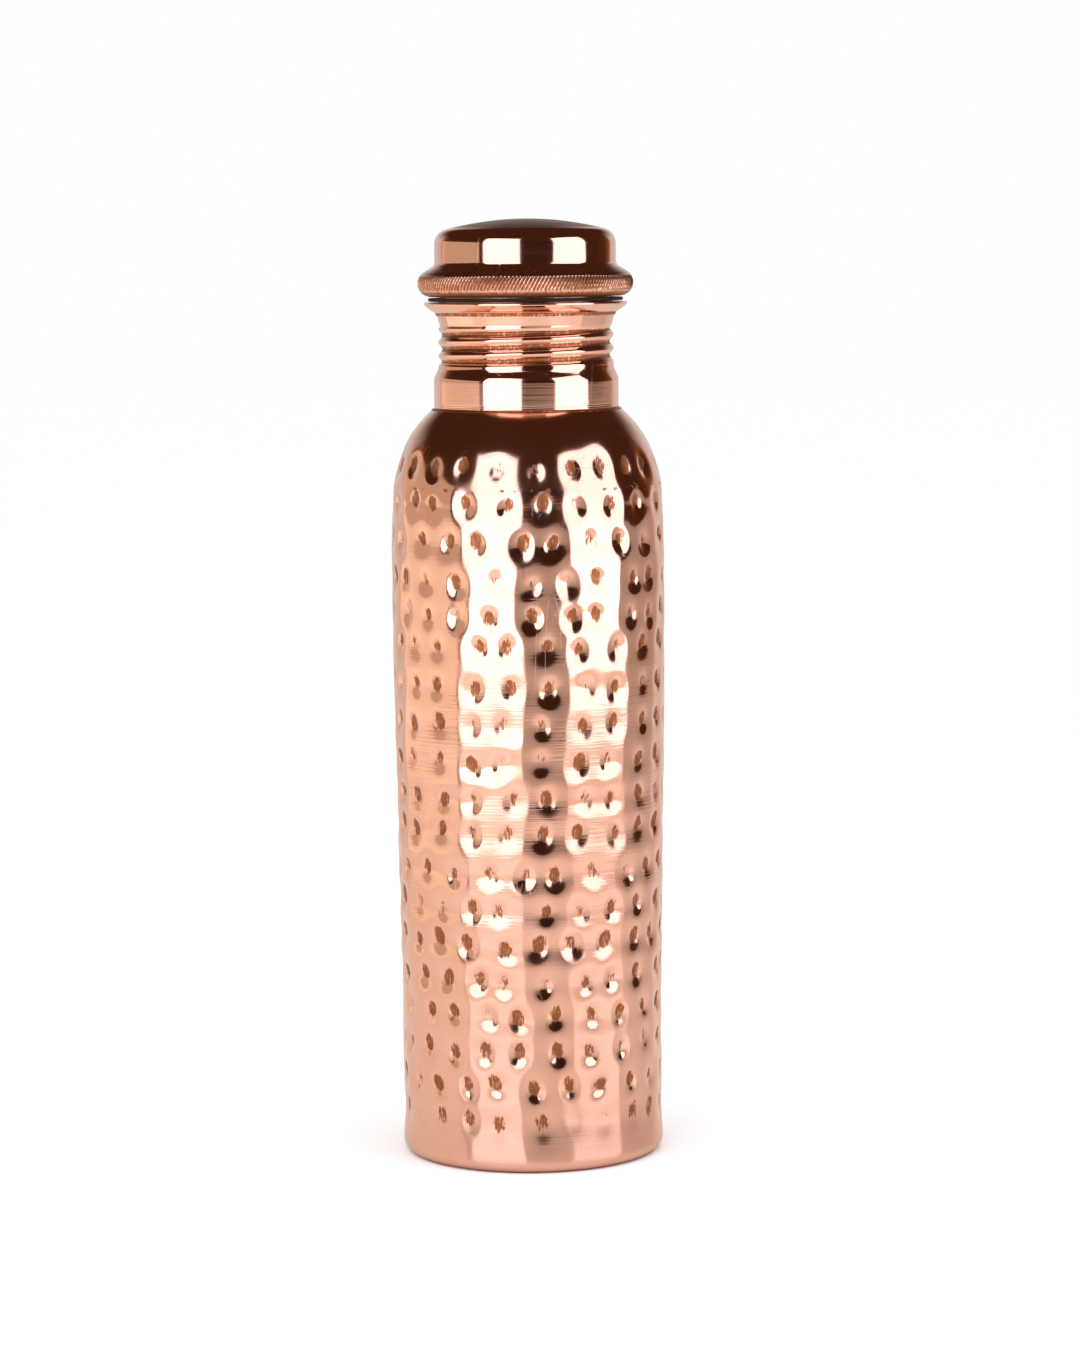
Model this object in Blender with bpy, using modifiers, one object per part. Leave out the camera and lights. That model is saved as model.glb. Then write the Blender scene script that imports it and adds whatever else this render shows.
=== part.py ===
"""A hammered copper water bottle with a screw cap.

Every piece is turned about the Z axis from the outline of its outer side, because
the real ones are spun or drawn from sheet. The bottle is four pieces of sheet and a
lip ring, brazed together. The cap is two pieces of sheet with a loose gasket. The
screw thread is rolled through the walls of the neck and of the cap's sleeve.

Lengths are in metres, +Z is up, and the bottle stands on Z = 0 with its axis on Z.
"""

import math

import bpy

# Sheet and fits
SHEET = 0.0006            # thickness of the copper sheet
GAP = 0.0003              # joint gap between two pieces that touch or are brazed
THREAD_GAP = 0.00045      # radial clearance between the two threads
ROUND_STEPS = 48          # facets round every turned piece

# Barrel
FOOT_RADIUS = 0.03725     # outer radius just above the foot
SWELL = 0.0016            # how much wider the barrel is at its widest place
SWELL_HEIGHT = 0.166      # height of the widest place
TOP_TAPER = 0.00035       # how much the radius falls again below the shoulder
BARREL_HEIGHT = 0.186     # where the shoulder's curve starts
FOOT_CORNER = 0.0034      # outer radius of the rounded foot
FOOT_FLANGE = 0.0045      # width of the flat ring that the bottle stands on

# Base pan
PAN_SKIRT = 0.006         # height of the pan's upright rim
PAN_RIM = 0.005           # width of the pan's flat rim
PAN_RISE = 0.0035         # how far the middle is dished up

# Shoulder
SHOULDER_CURVE = 0.0348   # radius of the shoulder's curve
SEAM_RISE = 0.005         # height of the barrel's upper edge above BARREL_HEIGHT
SEAM_LAP = 0.005          # how deep the shoulder's joggled rim sits in the barrel

# Neck collar
NECK_RADIUS = 0.02615     # outer radius of the plain collar
NECK_TUCK = 0.003         # how far the collar reaches down inside the shoulder
PLAIN_HEIGHT = 0.0062     # height of the plain band above the shoulder
DRAW_HEIGHT = 0.0057      # height over which the collar is drawn in to the thread
THREAD_RADIUS = 0.02485   # outer radius of the neck over the crests of its thread
THREAD_HEIGHT = 0.0118    # height of the neck's threaded stretch
THREAD_PITCH = 0.00385
THREAD_DEPTH = 0.00115
THREAD_START = 0.0048     # a crest's height above the thread's lower end, on +X
RUN_OUT = 0.0015          # height over which a groove fades into the plain wall
BAND_STEP = 0.00055       # how much wider the band above the thread is
BAND_HEIGHT = 0.0061      # height of the band, up to the mouth

# Lip ring
LIP_WIDTH = 0.00325       # how far the lip stands out from the band
LIP_EDGE = 0.0008         # height of its upright rim
LIP_DROP = 0.0029         # height of the whole ring

# Cap
GASKET_HEIGHT = 0.0009
GASKET_INSET = 0.0012     # how far the gasket's edge lies inside the lip's
BEAD_OVERHANG = 0.00182   # how far the bead stands out past the lip
BEAD_CURVE = 0.0038       # radius of the bead
BEAD_SLOPE = 58.0         # degrees, where the bead's curve turns into the fillet
FILLET = 0.0015           # radius of the fillet between bead and wall
FILLET_RISE = 0.0099      # height of the fillet's upper end above the cap's base
CAP_STEP = 0.0008         # how much wider the cap's wall is than the thread
CAP_HEIGHT = 0.02182      # from the underside of the bead to the top of the dome
CAP_CORNER = 0.0044       # radius of the rounded top edge
DOME_CURVE = 0.090        # radius of the dome
SLEEVE_FLANGE = 0.0019    # width of the flange that holds the sleeve in the cap
SLEEVE_LENGTH = 0.0208    # how far the sleeve reaches down from its flange
SLEEVE_LEAD = 0.0025      # height of the tapered nose at the sleeve's lower end

# Spacing of the facets along an outline
ROLL_ROW = 0.0007         # rows that the thread is rolled into
BARREL_ROW = 0.0208
SHOULDER_ROW = 0.0028
CORNER_STEPS = 4

# Heights and radii that follow from the driving ones
SHOULDER_FOOT = FOOT_RADIUS + SWELL - TOP_TAPER
NECK_HOLE = NECK_RADIUS + GAP
SHOULDER_CENTRE = SHOULDER_FOOT - SHOULDER_CURVE
NECK_BASE = BARREL_HEIGHT + math.sqrt(SHOULDER_CURVE ** 2 - (NECK_HOLE - SHOULDER_CENTRE) ** 2)
SEAM_HEIGHT = BARREL_HEIGHT + SEAM_RISE
LAP_FOOT = SEAM_HEIGHT - SEAM_LAP
THREAD_LOW = NECK_BASE + PLAIN_HEIGHT + DRAW_HEIGHT
THREAD_HIGH = THREAD_LOW + THREAD_HEIGHT
THREAD_CREST = THREAD_LOW + THREAD_START
MOUTH = THREAD_HIGH + BAND_HEIGHT
BAND_RADIUS = THREAD_RADIUS + BAND_STEP
LIP_RADIUS = BAND_RADIUS + LIP_WIDTH
GASKET_BASE = MOUTH + GAP
CAP_BASE = GASKET_BASE + GASKET_HEIGHT + GAP
CAP_TOP = CAP_BASE + CAP_HEIGHT
CAP_RADIUS = THREAD_RADIUS + CAP_STEP
BEAD_RADIUS = LIP_RADIUS + BEAD_OVERHANG
SLEEVE_RADIUS = THREAD_RADIUS - SHEET - THREAD_GAP
SLEEVE_TOP = CAP_BASE + SHEET + GAP
SLEEVE_BASE = SLEEVE_TOP - SLEEVE_LENGTH

COPPER = ((0.86, 0.47, 0.32), 0.18, 1.0)
POLISHED_COPPER = ((0.90, 0.50, 0.35), 0.12, 1.0)
DULL_COPPER = ((0.72, 0.38, 0.26), 0.35, 1.0)
SILICONE = ((0.62, 0.58, 0.54), 0.45, 0.0)


def clear_scene():
    """Remove the objects that the scene starts with."""
    for item in list(bpy.data.objects):
        bpy.data.objects.remove(item)


def finish(name, look):
    """Return a Principled material of one colour, roughness and metallic value."""
    colour, roughness, metallic = look
    material = bpy.data.materials.new(name)
    material.use_nodes = True
    shader = material.node_tree.nodes["Principled BSDF"]
    shader.inputs["Base Color"].default_value = (*colour, 1.0)
    shader.inputs["Roughness"].default_value = roughness
    shader.inputs["Metallic"].default_value = metallic
    material.diffuse_color = (*colour, 1.0)
    return material


def ramp(height, start, end):
    """Rise smoothly from 0 at start to 1 at end."""
    share = min(max((height - start) / (end - start), 0.0), 1.0)
    return share * share * (3.0 - 2.0 * share)


def arc(centre, radius, start, end, steps):
    """Return points on an arc; angles in degrees from the outward direction."""
    points = []
    for step in range(steps + 1):
        angle = math.radians(start + (end - start) * step / steps)
        points.append((centre[0] + radius * math.cos(angle),
                       centre[1] + radius * math.sin(angle)))
    return points


def rows_down(radius_at, top, bottom, spacing):
    """Return a wall's points from top to bottom, about one spacing apart."""
    count = max(1, round((top - bottom) / spacing))
    heights = [top + (bottom - top) * step / count for step in range(count + 1)]
    return [(radius_at(height), height) for height in heights]


def body_radius(height):
    """Return the outer radius of barrel and shoulder at a height."""
    if height > BARREL_HEIGHT:
        rise = height - BARREL_HEIGHT
        return SHOULDER_CENTRE + math.sqrt(max(SHOULDER_CURVE ** 2 - rise ** 2, 0.0))
    if height > SWELL_HEIGHT:
        share = (height - SWELL_HEIGHT) / (BARREL_HEIGHT - SWELL_HEIGHT)
        return FOOT_RADIUS + SWELL - TOP_TAPER * share ** 2
    share = max(height - FOOT_CORNER, 0.0) / (SWELL_HEIGHT - FOOT_CORNER)
    return FOOT_RADIUS + SWELL * (1.0 - math.cos(math.pi * share)) / 2.0


def turned(name, outline, look, closed=False, group=None):
    """Turn an outline about Z: an outer side running down, or a closed section."""
    edges = [(index, index + 1) for index in range(len(outline) - 1)]
    if closed:
        edges.append((len(outline) - 1, 0))
    mesh = bpy.data.meshes.new(name)
    mesh.from_pydata([(radius, 0.0, height) for radius, height in outline], edges, [])
    mesh.materials.append(finish(name, look))
    item = bpy.data.objects.new(name, mesh)
    (group or parts).objects.link(item)
    screw = item.modifiers.new("turn", "SCREW")
    screw.axis = "Z"
    screw.steps = ROUND_STEPS
    screw.render_steps = ROUND_STEPS
    screw.use_merge_vertices = True
    screw.merge_threshold = 0.00001
    screw.use_smooth_shade = True
    return item


def shell(name, outline, look):
    """Turn an outer side and give it the thickness of the sheet, inwards."""
    item = turned(name, outline, look)
    wall = item.modifiers.new("sheet", "SOLIDIFY")
    wall.thickness = SHEET
    wall.offset = -1.0
    wall.use_even_offset = True
    return item


def roll_thread(item, low, low_end, high_start, high):
    """Roll the helical groove through a tube's wall, fading at both ends.

    The groove lies between crests that start at THREAD_CREST on +X and rise by one
    pitch for each turn to the left as seen from above, a right-hand thread.
    """
    bpy.context.view_layer.update()
    graph = bpy.context.evaluated_depsgraph_get()
    rolled = bpy.data.meshes.new_from_object(item.evaluated_get(graph))
    item.modifiers.clear()
    item.data = rolled
    for vertex in rolled.vertices:
        x, y, height = vertex.co
        radius = math.hypot(x, y)
        turn = math.atan2(y, x) / math.tau
        wave = math.cos(math.tau * ((height - THREAD_CREST) / THREAD_PITCH - turn))
        fade = ramp(height, low, low_end) * ramp(-height, -high, -high_start)
        depth = THREAD_DEPTH * fade * (1.0 - wave) / 2.0
        vertex.co.x = x * (radius - depth) / radius
        vertex.co.y = y * (radius - depth) / radius


def make_barrel():
    """The hammered tube, with its lower edge turned in to a flat foot."""
    corner = (FOOT_RADIUS - FOOT_CORNER, FOOT_CORNER)
    outline = rows_down(body_radius, SEAM_HEIGHT, LAP_FOOT, SEAM_LAP / 2)
    outline += rows_down(body_radius, LAP_FOOT, FOOT_CORNER, BARREL_ROW)[1:]
    outline += arc(corner, FOOT_CORNER, 0.0, -90.0, CORNER_STEPS)[1:]
    outline.append((corner[0] - FOOT_FLANGE, 0.0))
    shell("barrel", outline, COPPER)


def make_base_pan():
    """The pressed pan that closes the bottom, nested in the barrel's foot."""
    inset = SHEET + GAP
    corner = (FOOT_RADIUS - FOOT_CORNER, FOOT_CORNER)
    rim = corner[0] - PAN_RIM
    outline = rows_down(lambda height: body_radius(height) - inset,
                        FOOT_CORNER + PAN_SKIRT, FOOT_CORNER, PAN_SKIRT / 2)
    outline += arc(corner, FOOT_CORNER - inset, 0.0, -90.0, CORNER_STEPS)[1:]
    outline.append((rim, inset))
    outline.append((rim - PAN_RISE, inset + PAN_RISE * 0.7))
    outline.append((rim * 0.6, inset + PAN_RISE * 0.95))
    outline.append((0.0, inset + PAN_RISE))
    shell("base_pan", outline, COPPER)


def make_shoulder():
    """The spun dome, joggled in below to sit in the barrel and bored for the neck."""
    inset = SHEET + GAP
    outline = rows_down(body_radius, NECK_BASE + SHEET, SEAM_HEIGHT + GAP, SHOULDER_ROW)
    outline.append((outline[-1][0] - inset, SEAM_HEIGHT + GAP))
    outline += rows_down(lambda height: body_radius(height) - inset,
                         SEAM_HEIGHT, LAP_FOOT, SEAM_LAP / 2)
    shoulder = shell("shoulder", outline, COPPER)
    reach = SHOULDER_CURVE / 2
    bore = [(0.0, NECK_BASE + reach), (NECK_HOLE, NECK_BASE + reach),
            (NECK_HOLE, NECK_BASE - reach), (0.0, NECK_BASE - reach)]
    cutter = turned("neck_bore_cutter", bore, DULL_COPPER, group=cutters)
    cutter.hide_render = True
    cutter.display_type = "WIRE"
    cut = shoulder.modifiers.new("neck_bore", "BOOLEAN")
    cut.operation = "DIFFERENCE"
    cut.object = cutter


def collar_radius(height):
    """Return the collar's outer radius before its thread is rolled."""
    drawn = ramp(height, THREAD_LOW - DRAW_HEIGHT, THREAD_LOW)
    widened = ramp(height, THREAD_HIGH - RUN_OUT, THREAD_HIGH + RUN_OUT / 2)
    return NECK_RADIUS + (THREAD_RADIUS - NECK_RADIUS) * drawn + BAND_STEP * widened


def make_neck_collar():
    """The neck, with the thread rolled through its wall from outside."""
    plain_top = THREAD_LOW - DRAW_HEIGHT
    outline = [(BAND_RADIUS, MOUTH)]
    outline += rows_down(collar_radius, THREAD_HIGH + RUN_OUT / 2, THREAD_LOW, ROLL_ROW)
    outline += rows_down(collar_radius, THREAD_LOW, plain_top, DRAW_HEIGHT / 4)[1:]
    outline.append((NECK_RADIUS, NECK_BASE - NECK_TUCK))
    collar = shell("neck_collar", outline, POLISHED_COPPER)
    roll_thread(collar, THREAD_LOW, THREAD_LOW + RUN_OUT, THREAD_HIGH - RUN_OUT, THREAD_HIGH)


def make_lip_ring():
    """The solid ring round the mouth, chamfered below, that the gasket seals on."""
    bore = BAND_RADIUS + GAP
    outline = [(LIP_RADIUS, MOUTH - LIP_EDGE), (bore, MOUTH - LIP_DROP),
               (bore, MOUTH), (LIP_RADIUS - LIP_EDGE / 3, MOUTH),
               (LIP_RADIUS, MOUTH - LIP_EDGE / 3)]
    turned("lip_ring", outline, POLISHED_COPPER, closed=True)


def make_gasket():
    """The flat silicone ring between the lip and the cap."""
    inner = SLEEVE_RADIUS + GAP
    outer = LIP_RADIUS - GASKET_INSET
    top = GASKET_BASE + GASKET_HEIGHT
    outline = [(inner, top), (outer, top), (outer, GASKET_BASE), (inner, GASKET_BASE)]
    turned("sealing_gasket", outline, SILICONE, closed=True)


def make_cap_shell():
    """The spun cap: dome, wall and the bead that the fingers turn it by."""
    dome_centre = CAP_TOP - DOME_CURVE
    corner_r = CAP_RADIUS - CAP_CORNER
    corner_z = dome_centre + math.sqrt((DOME_CURVE - CAP_CORNER) ** 2 - corner_r ** 2)
    meet = math.degrees(math.atan2(corner_z - dome_centre, corner_r))
    bead = (BEAD_RADIUS - BEAD_CURVE, CAP_BASE + BEAD_CURVE)
    fillet = (CAP_RADIUS + FILLET, CAP_BASE + FILLET_RISE)
    outline = arc((0.0, dome_centre), DOME_CURVE, 90.0, meet, 3)
    outline += arc((corner_r, corner_z), CAP_CORNER, meet, 0.0, 4)[1:]
    outline += arc(fillet, FILLET, 180.0, 180.0 + BEAD_SLOPE, 3)
    outline += arc(bead, BEAD_CURVE, BEAD_SLOPE, -90.0, 8)
    outline.append((SLEEVE_RADIUS + GAP, CAP_BASE))
    outline[0] = (0.0, CAP_TOP)
    shell("cap_shell", outline, POLISHED_COPPER)


def sleeve_radius(height):
    """Return the sleeve's outer radius before its thread is rolled."""
    nose = ramp(height, SLEEVE_BASE, SLEEVE_BASE + SLEEVE_LEAD)
    return SLEEVE_RADIUS - THREAD_DEPTH * (1.0 - nose)


def make_thread_sleeve():
    """The flanged tube with the cap's thread, which screws into the neck."""
    roll_top = THREAD_HIGH + RUN_OUT
    outline = [(SLEEVE_RADIUS + SLEEVE_FLANGE, SLEEVE_TOP), (SLEEVE_RADIUS, SLEEVE_TOP)]
    outline += rows_down(sleeve_radius, roll_top, SLEEVE_BASE, ROLL_ROW)
    sleeve = shell("thread_sleeve", outline, DULL_COPPER)
    roll_thread(sleeve, SLEEVE_BASE, SLEEVE_BASE + SLEEVE_LEAD, THREAD_HIGH, roll_top)


clear_scene()
parts = bpy.data.collections.new("copper_water_bottle")
bpy.context.scene.collection.children.link(parts)
cutters = bpy.data.collections.new("cutters")
bpy.context.scene.collection.children.link(cutters)
make_barrel()
make_base_pan()
make_shoulder()
make_neck_collar()
make_lip_ring()
make_gasket()
make_cap_shell()
make_thread_sleeve()
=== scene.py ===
# %% [markdown]
# # A hammered copper water bottle
# The bottle is made as a coppersmith makes it: tubes and domes of thin sheet are spun,
# brazed together, hammered and buffed. Every piece is therefore a turned shape first.
# It could be sculpted from a cylinder, but an outline that is drawn once and spun round
# the axis keeps each size exact and is easy to change. The frame holds the true sizes.

# %% Load the frame
import math

import bpy
import numpy as np
from mathutils import Matrix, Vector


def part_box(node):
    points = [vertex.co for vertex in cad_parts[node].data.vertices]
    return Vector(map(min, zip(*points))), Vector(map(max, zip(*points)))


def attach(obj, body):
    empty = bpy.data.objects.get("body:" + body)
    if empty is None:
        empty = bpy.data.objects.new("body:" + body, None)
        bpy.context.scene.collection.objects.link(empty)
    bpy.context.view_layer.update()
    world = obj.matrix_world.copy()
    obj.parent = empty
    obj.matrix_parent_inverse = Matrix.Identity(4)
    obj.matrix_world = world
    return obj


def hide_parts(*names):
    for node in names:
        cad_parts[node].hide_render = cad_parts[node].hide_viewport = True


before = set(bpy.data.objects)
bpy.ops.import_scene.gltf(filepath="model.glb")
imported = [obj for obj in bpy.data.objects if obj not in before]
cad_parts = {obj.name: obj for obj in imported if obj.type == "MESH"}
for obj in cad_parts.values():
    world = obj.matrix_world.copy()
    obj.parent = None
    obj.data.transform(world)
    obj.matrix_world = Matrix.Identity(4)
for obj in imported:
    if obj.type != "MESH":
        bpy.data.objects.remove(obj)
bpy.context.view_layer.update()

print("nodes:", ", ".join(sorted(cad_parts)))

# %% [markdown]
# ## The camera
# A long lens far away keeps the sides of the bottle nearly parallel, as in a catalogue
# picture. It stands a little above the cap and looks slightly down, and it is rolled by
# half a degree, because a hand-levelled tripod is never quite upright.

# %% Place the camera
LENS = 106.1
CAMERA_PLACE = (0.0031, -1.1260, 0.25890)
CAMERA_TILT = math.radians(6.215)
CAMERA_ROLL = math.radians(0.535)

camera_data = bpy.data.cameras.new("camera")
camera_data.lens = LENS
camera = bpy.data.objects.new("camera", camera_data)
bpy.context.scene.collection.objects.link(camera)
camera.location = CAMERA_PLACE
look = Matrix.Rotation(math.pi / 2 - CAMERA_TILT, 4, "X") @ Matrix.Rotation(-CAMERA_ROLL, 4, "Z")
camera.rotation_euler = look.to_euler()
bpy.context.scene.camera = camera
bpy.context.scene.view_settings.view_transform = "Standard"
print("camera", CAMERA_PLACE, "lens", LENS)

# %% [markdown]
# ## Small helpers for node trees
# A node tree could be clicked together in the editor. In a script, two short helpers
# do the same: one adds a node with its settings, and one links an output to an input.

# %% Node helpers
def add(tree, kind, **settings):
    """Add a node, set its properties and, by name or index, its input values."""
    values = settings.pop("values", {})
    node = tree.nodes.new(kind)
    for name, value in settings.items():
        setattr(node, name, value)
    for name, value in values.items():
        node.inputs[name].default_value = value
    return node


def math_node(tree, operation, first, second=None, clamp=False):
    """Add a Math node; each operand is a number or an output socket."""
    node = add(tree, "ShaderNodeMath", operation=operation, use_clamp=clamp)
    for index, operand in enumerate((first, second)):
        if operand is None:
            continue
        if isinstance(operand, (int, float)):
            node.inputs[index].default_value = operand
        else:
            tree.links.new(operand, node.inputs[index])
    return node.outputs[0]


def ramp_node(tree, value, start, end, low=0.0, high=1.0, smooth=True):
    """Map a value from start..end to low..high, held at both ends."""
    node = add(tree, "ShaderNodeMapRange",
               interpolation_type="SMOOTHSTEP" if smooth else "LINEAR",
               values={"From Min": start, "From Max": end, "To Min": low, "To Max": high})
    tree.links.new(value, node.inputs["Value"])
    return node.outputs["Result"]


def mix_colour(tree, share, first, second):
    """Mix two colours; each is an output socket or an RGB tuple."""
    node = add(tree, "ShaderNodeMix", data_type="RGBA")
    if isinstance(share, (int, float)):
        node.inputs["Factor"].default_value = share
    else:
        tree.links.new(share, node.inputs["Factor"])
    for socket, colour in ((node.inputs[6], first), (node.inputs[7], second)):
        if isinstance(colour, tuple):
            socket.default_value = (*colour, 1.0)
        else:
            tree.links.new(colour, socket)
    return node.outputs[2]


print("node helpers ready")

# %% [markdown]
# ## The floor
# Polished metal has hardly any colour of its own, so what stands round it is half of
# its look. The floor is one large pale sheet with a faint sheen, the same all over. The
# metal mirrors its warm pale colour, which lightens the lower part of the bottle. The
# camera sees the same sheet as plain white, so no line shows where it ends.

# %% Lay the floor
FLOOR_HALF = 6.0
FLOOR_PALE = (0.72, 0.66, 0.60, 1.0)
FLOOR_WHITE = (0.97, 0.97, 0.97, 1.0)
FLOOR_ROUGHNESS = 0.20
FLOOR_SHEEN = 0.24

bpy.ops.object.select_all(action="DESELECT")
bpy.ops.mesh.primitive_plane_add(size=2 * FLOOR_HALF, location=(0.0, 0.0, 0.0))
floor = bpy.context.object
floor.name = "floor"

sheet = bpy.data.materials.new("pale_sheet")
sheet.use_nodes = True
tree = sheet.node_tree
top = tree.nodes["Principled BSDF"]
top.inputs["Base Color"].default_value = FLOOR_PALE
top.inputs["Roughness"].default_value = FLOOR_ROUGHNESS
top.inputs["Specular IOR Level"].default_value = FLOOR_SHEEN
paper = add(tree, "ShaderNodeBsdfDiffuse", values={"Color": FLOOR_WHITE})
seen = add(tree, "ShaderNodeLightPath")
either = add(tree, "ShaderNodeMixShader")
tree.links.new(seen.outputs["Is Camera Ray"], either.inputs["Fac"])
tree.links.new(top.outputs["BSDF"], either.inputs[1])
tree.links.new(paper.outputs["BSDF"], either.inputs[2])
tree.links.new(either.outputs["Shader"], tree.nodes["Material Output"].inputs["Surface"])
floor.data.materials.append(sheet)
print("floor", 2 * FLOOR_HALF, "m wide")

# %% [markdown]
# ## The lamps
# Two upright softboxes stand on low feet, one on the left and one on the right, with a
# dark gap between them where the camera looks through. Each has a dull skirt below it,
# and a dull board stands further round to the left. They are area lamps, so they show
# as clean strips in the metal. A sun lamp that the metal can't mirror lights the floor
# and leaves a soft shadow.

# %% Place the lamps
PANEL_DISTANCE = 0.53
PANEL_TOP = 0.66
PANEL_FOOT = 0.040
RIGHT_FOOT = PANEL_FOOT + 0.012
BOARD_TOP = 0.37
LEFT_EDGES = (-53.5, -6.0)
RIGHT_EDGES = (35.0, 81.5)
BOARD_EDGES = (-128.0, -59.0)
SUN_STRENGTH = 3.12
SUN_SPREAD = math.radians(110.0)


def panel(name, left_edge, right_edge, low, high, colour):
    """Stand a glowing panel between two directions, in degrees right of the camera."""
    middle = math.radians((left_edge + right_edge) / 2)
    half = math.radians((right_edge - left_edge) / 2)
    width = 2 * PANEL_DISTANCE * math.tan(half)
    brightest = max(colour)
    lamp = bpy.data.lights.new(name, "AREA")
    lamp.shape = "RECTANGLE"
    lamp.size = width
    lamp.size_y = high - low
    lamp.energy = brightest * math.pi * width * (high - low)
    lamp.color = [part / brightest for part in colour]
    item = bpy.data.objects.new(name, lamp)
    bpy.context.scene.collection.objects.link(item)
    item.location = (PANEL_DISTANCE * math.sin(middle),
                     -PANEL_DISTANCE * math.cos(middle), (low + high) / 2)
    item.rotation_euler = (math.pi / 2, 0.0, middle)
    item.visible_camera = False
    print(name, "is", round(width, 3), "m wide")


panel("softbox_left", *LEFT_EDGES, PANEL_FOOT, PANEL_TOP, (1.85, 1.88, 2.15))
panel("softbox_right", *RIGHT_EDGES, RIGHT_FOOT, PANEL_TOP, (1.80, 1.80, 2.05))
panel("skirt_left", *LEFT_EDGES, 0.0, PANEL_FOOT, (0.52, 0.49, 0.43))
panel("skirt_right", *RIGHT_EDGES, 0.0, RIGHT_FOOT, (0.34, 0.30, 0.25))
panel("dull_board", *BOARD_EDGES, 0.0, BOARD_TOP, (0.54, 0.46, 0.37))

sun_data = bpy.data.lights.new("overhead", "SUN")
sun_data.energy = SUN_STRENGTH
sun_data.angle = SUN_SPREAD
sun = bpy.data.objects.new("overhead", sun_data)
bpy.context.scene.collection.objects.link(sun)
sun.visible_glossy = False

# %% [markdown]
# ## The room
# What the lamps leave dark is the room. It is white behind the bottle and a very dark
# warm brown elsewhere and overhead. The colours depend only on the direction in the
# room, so they stay in place when the camera walks round. To the camera itself the room
# is plain white, like a paper backdrop.

# %% Paint the room
ROOM_STOPS = (
    (-180.0, (0.72, 0.69, 0.69)),
    (-134.0, (0.66, 0.63, 0.63)),
    (-129.0, (0.30, 0.13, 0.05)),
    (-118.0, (0.085, 0.032, 0.012)),
    (-60.0, (0.055, 0.022, 0.011)),
    (0.0, (0.034, 0.013, 0.008)),
    (100.0, (0.050, 0.019, 0.010)),
    (122.0, (0.090, 0.032, 0.012)),
    (133.0, (0.24, 0.10, 0.04)),
    (140.0, (0.66, 0.63, 0.63)),
    (180.0, (0.72, 0.69, 0.69)),
)
CEILING = (0.052, 0.020, 0.010)
CEILING_START = math.sin(math.radians(9.0))
CEILING_FULL = math.sin(math.radians(30.0))

world = bpy.data.worlds.new("room")
bpy.context.scene.world = world
world.use_nodes = True
tree = world.node_tree
direction = add(tree, "ShaderNodeTexCoord")
axes = add(tree, "ShaderNodeSeparateXYZ")
tree.links.new(direction.outputs["Generated"], axes.inputs["Vector"])
ahead = math_node(tree, "MULTIPLY", axes.outputs["Y"], -1.0)
bearing = math_node(tree, "ARCTAN2", axes.outputs["X"], ahead)
turned_share = ramp_node(tree, bearing, -math.pi, math.pi, smooth=False)
walls = add(tree, "ShaderNodeValToRGB")
tree.links.new(turned_share, walls.inputs["Fac"])
stops = walls.color_ramp.elements
while len(stops) < len(ROOM_STOPS):
    stops.new(0.5)
for stop, (degrees, colour) in zip(stops, ROOM_STOPS):
    stop.position = (degrees + 180.0) / 360.0
    stop.color = (*colour, 1.0)
overhead = ramp_node(tree, axes.outputs["Z"], CEILING_START, CEILING_FULL)
room_colour = mix_colour(tree, overhead, walls.outputs["Color"], CEILING)
seen = add(tree, "ShaderNodeLightPath")
shown = mix_colour(tree, seen.outputs["Is Camera Ray"], room_colour, (1.0, 1.0, 1.0))
tree.links.new(shown, tree.nodes["Background"].inputs["Color"])
print("room with", len(ROOM_STOPS), "stops")

# %% [markdown]
# ## Drawing and turning
# A spinner works with a template of the outline. Here the template is a chain of edges:
# a tiny plane is merged to a point, and the point is extruded from place to place. The
# Spin tool turns the chain through one wedge, and then copies the wedge round, which is
# much quicker than one long spin. A Screw modifier would give the same shape, but Spin
# leaves a plain mesh at once, which the hammer marks and the thread are pressed into.

# %% Turning helpers
SHEET = 0.0006
GAP = 0.0003
DOT = 0.0002
WELD = 0.000001
WEDGES = 12


def let_go():
    """Leave edit mode and deselect everything."""
    if bpy.context.mode != "OBJECT":
        bpy.ops.object.mode_set(mode="OBJECT")
    bpy.ops.object.select_all(action="DESELECT")


def pick(item):
    """Make one object the only selected and active one."""
    let_go()
    item.select_set(True)
    bpy.context.view_layer.objects.active = item


def spun(name, outline, columns):
    """Draw an outline of (radius, height) points and spin it round the Z axis."""
    let_go()
    radius, height = outline[0]
    bpy.ops.mesh.primitive_plane_add(size=DOT, location=(radius, 0.0, height))
    item = bpy.context.object
    item.name = name
    item.data.name = name
    bpy.ops.object.transform_apply(location=True, rotation=True, scale=True)
    bpy.ops.object.mode_set(mode="EDIT")
    bpy.ops.mesh.select_mode(type="VERT")
    bpy.ops.mesh.select_all(action="SELECT")
    bpy.ops.mesh.merge(type="CENTER")
    for (radius, height), (next_radius, next_height) in zip(outline, outline[1:]):
        step = (next_radius - radius, 0.0, next_height - height)
        bpy.ops.mesh.extrude_region_move(TRANSFORM_OT_translate={"value": step})
    about = {"center": (0.0, 0.0, 0.0), "axis": (0.0, 0.0, 1.0)}
    wedge = math.tau / WEDGES
    bpy.ops.mesh.select_all(action="SELECT")
    bpy.ops.mesh.spin(steps=columns // WEDGES, angle=wedge, **about)
    bpy.ops.mesh.select_all(action="SELECT")
    bpy.ops.mesh.spin(steps=WEDGES - 1, angle=math.tau - wedge, dupli=True, **about)
    bpy.ops.mesh.select_all(action="SELECT")
    bpy.ops.mesh.remove_doubles(threshold=WELD)
    bpy.ops.mesh.normals_make_consistent(inside=False)
    bpy.ops.object.mode_set(mode="OBJECT")
    return item


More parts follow.
